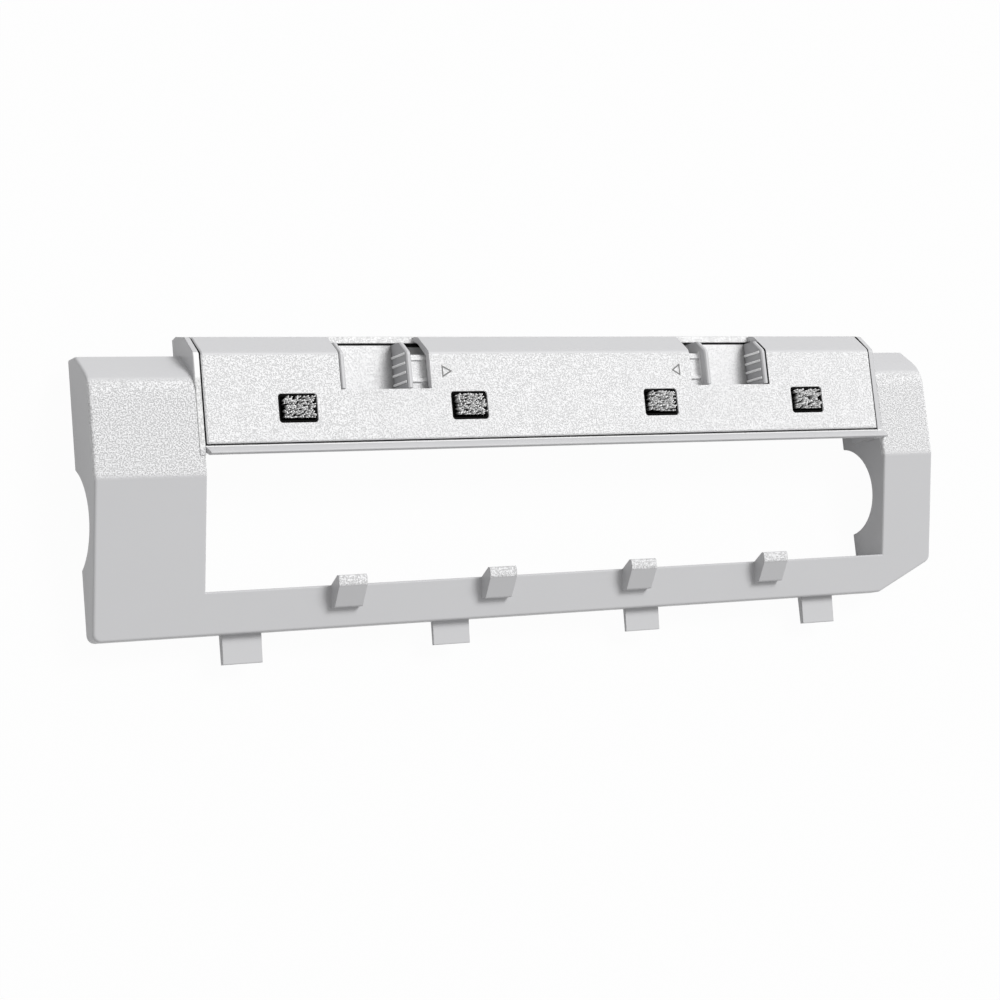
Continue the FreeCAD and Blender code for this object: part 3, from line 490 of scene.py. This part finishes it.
# bristles: tufts of thin nylon set in each cup
bristles = {
    "columns": 5,
    "rows": 4,
    "perTuft": 10,
    "thick": 0.19,          # radius of one bristle, millimetres
    "point": 0.75,          # share of that left at the tip
    "rootSpread": 0.3,      # radii of a tuft
    "tipSpread": 0.92,
    "leftRoom": 0.85,       # bare floor left of the tufts
    "frontRoom": 0.5,
    "tipAbove": 0.8,        # tallest tips, over the panel's face
    "uneven": 1.3,          # how much lower the shortest tips are
    "wallGap": 0.1,
    "sides": 5,
    "seed": 40,
    # painted shade down at the roots and painted highlight at the tips of the bristles
    "rootShade": (0.012, 0.012, 0.012),
    "tipHighlight": (0.98, 0.98, 0.98),
    "shadeToHighlightHeights": (14.6, 16.2),    # from the painted shade at the roots to the painted highlight at the tips
    "patchSize": 1.3,               # per millimetre
    "patchEdge": (0.4, 0.6),
    "patchTone": 0.25,
    "rough": (0.4, 0.55),
}


def bristleFinish(values):
    finish = newFinish("bristleNylon")
    place = finish.place()
    _, _, z = finish.split(place)
    # painted shade low on the bristles, painted highlight at their tips
    height = finish.ramp(*values["shadeToHighlightHeights"], z)
    patch = finish.ramp(*values["patchEdge"], finish.noise(place, values["patchSize"]))
    litShare = height * (patch * values["patchTone"] + (1 - values["patchTone"]))
    smooth, rough = values["rough"]
    base = finish.colour(litShare, values["rootShade"], values["tipHighlight"])
    finish.set({"Base Color": base, "Roughness": smooth + patch * (rough - smooth)})
    return finish.owner


def addBristles(index, values, material):
    low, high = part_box(f"bristles_{index}")
    low = Vector(low) + Vector((values["leftRoom"], values["frontRoom"], 0)) * mm
    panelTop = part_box("panel")[1][2]
    gap = values["wallGap"] * mm
    chance = random.Random(values["seed"] + index)
    form = bmesh.new()
    stepX = (high[0] - low[0]) / values["columns"]
    stepY = (high[1] - low[1]) / values["rows"]
    for column in range(values["columns"]):
        for row in range(values["rows"]):
            middleX = low[0] + (column + 0.5) * stepX
            middleY = low[1] + (row + 0.5) * stepY
            middle = Vector((middleX, middleY, low[2]))
            for _ in range(values["perTuft"]):
                angle = chance.uniform(0, 2 * math.pi)
                reach = math.sqrt(chance.uniform(0, 1))
                aside = Vector((math.cos(angle), math.sin(angle), 0))
                foot = middle + aside * (reach * values["rootSpread"] * mm)
                tip = middle + aside * (reach * values["tipSpread"] * mm)
                tip.x = min(max(tip.x, low[0] + gap), high[0] - gap)
                tip.y = min(max(tip.y, low[1] + gap), high[1] - gap)
                tip.z = panelTop + (values["tipAbove"] - chance.uniform(0, values["uneven"])) * mm
                addBristle(form, foot, tip, values)
    piece = addPiece(f"bristleTufts{index}", form, material, "cover")
    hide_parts(f"bristles_{index}")


def addBristle(form, foot, tip, values):
    radius = values["thick"] * mm
    run = tip - foot
    turn = run.to_track_quat("Z", "Y").to_matrix().to_4x4()
    place = Matrix.Translation((foot + tip) / 2) @ turn
    bmesh.ops.create_cone(
        form,
        cap_ends=True,
        segments=values["sides"],
        radius1=radius,
        radius2=radius * values["point"],
        depth=run.length,
        matrix=place,
    )


bristleNylon = bristleFinish(bristles)
for index in cups:
    addBristles(index, bristles, bristleNylon)
print("bristles set")


# arrows that show which way the latches slide: three corners in millimetres
arrows = {
    "left": [(-27.7, 27.7), (-27.7, 24.8), (-25.0, 26.3)],
    "right": [(37.6, 24.7), (37.6, 27.7), (35.15, 26.1)],
    "line": 0.34,           # width and height in millimetres
    "height": 0.03,
    "low": (0.13, 0.13, 0.13),
    "high": (0.195, 0.195, 0.195),
    "size": 4.0,            # of the unevenness, per millimetre
    "rough": (0.5, 0.6),
    "shine": 0.5,
    "metal": 0.0,
}


def addArrow(side, values, material):
    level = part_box("panel")[1][2]
    form = bmesh.new()
    corners = [form.verts.new((x * mm, y * mm, level)) for x, y in values[side]]
    face = form.faces.new(corners)
    form.normal_update()
    rim = bmesh.ops.inset_region(
        form,
        faces=[face],
        use_boundary=True,
        use_even_offset=True,
        thickness=values["line"] * mm,
    )
    bmesh.ops.delete(form, geom=[face], context="FACES_ONLY")
    made = bmesh.ops.extrude_face_region(form, geom=rim["faces"])
    raised = [item for item in made["geom"] if isinstance(item, bmesh.types.BMVert)]
    bmesh.ops.translate(form, verts=raised, vec=(0, 0, values["height"] * mm))
    addPiece(f"{side}Arrow", form, material, "cover")


arrowLine = unevenFinish("arrowLine", arrows)
for side in ("left", "right"):
    addArrow(side, arrows, arrowLine)
print("arrows set")


# floor, lamp and air of a plain studio
studio = {
    "floorSize": 6.0,        # metres, as the lamp's size and place are
    "floorDrop": 0.1,        # under the part, in millimetres, so that no two faces share a plane
    "floorColour": 0.55,
    "floorRough": 0.9,
    "floorWhite": 0.97,      # share of plain white that the camera sees
    "keyPower": 160.0,       # watts
    "keySize": 1.9,
    "keyPlace": (1.7, 1.85, 3.7),
    "airStrength": 0.44,
}


def addFloor(values):
    form = bmesh.new()
    half = values["floorSize"] / 2
    below = Matrix.Translation((0, 0, -values["floorDrop"] * mm))
    bmesh.ops.create_grid(form, x_segments=1, y_segments=1, size=half, matrix=below)
    finish = newFinish("studioFloor")
    shade = values["floorColour"]
    finish.set({"Base Color": (shade, shade, shade), "Roughness": values["floorRough"]})
    white = finish.add("ShaderNodeEmission", None, {"Strength": 1.0})
    plain = Value(finish, finish.shader.outputs[0])
    share = finish.seenDirectly() * values["floorWhite"]
    mixed = finish.add("ShaderNodeMixShader", None, {0: share, 1: plain, 2: white})
    finish.join(finish.tree.nodes["Material Output"].inputs[0], mixed)
    floor = addMesh("studioFloor", form, finish.owner)


def addLamp(values):
    data = bpy.data.lights.new("keyLamp", "AREA")
    data.shape = "SQUARE"
    data.size = values["keySize"]
    data.energy = values["keyPower"]
    lamp = bpy.data.objects.new("keyLamp", data)
    bpy.context.scene.collection.objects.link(lamp)
    place = Vector(values["keyPlace"])
    turn = (-place).to_track_quat("-Z", "Y").to_matrix().to_4x4()
    lamp.matrix_world = Matrix.Translation(place) @ turn


def addAir(values):
    world = bpy.data.worlds.new("studioAir")
    bpy.context.scene.world = world
    finish = Finish(world)
    background = finish.tree.nodes["Background"]
    background.inputs["Color"].default_value = (1, 1, 1, 1)
    background.inputs["Strength"].default_value = values["airStrength"]
    air = Value(finish, background.outputs[0])
    white = finish.add("ShaderNodeBackground", None, {"Color": (1, 1, 1, 1), "Strength": 1.0})
    mixed = finish.add("ShaderNodeMixShader", None, {0: finish.seenDirectly(), 1: air, 2: white})
    finish.join(finish.tree.nodes["World Output"].inputs[0], mixed)


addFloor(studio)
addLamp(studio)
addAir(studio)
bpy.context.scene.view_settings.view_transform = "Standard"
print("studio set")
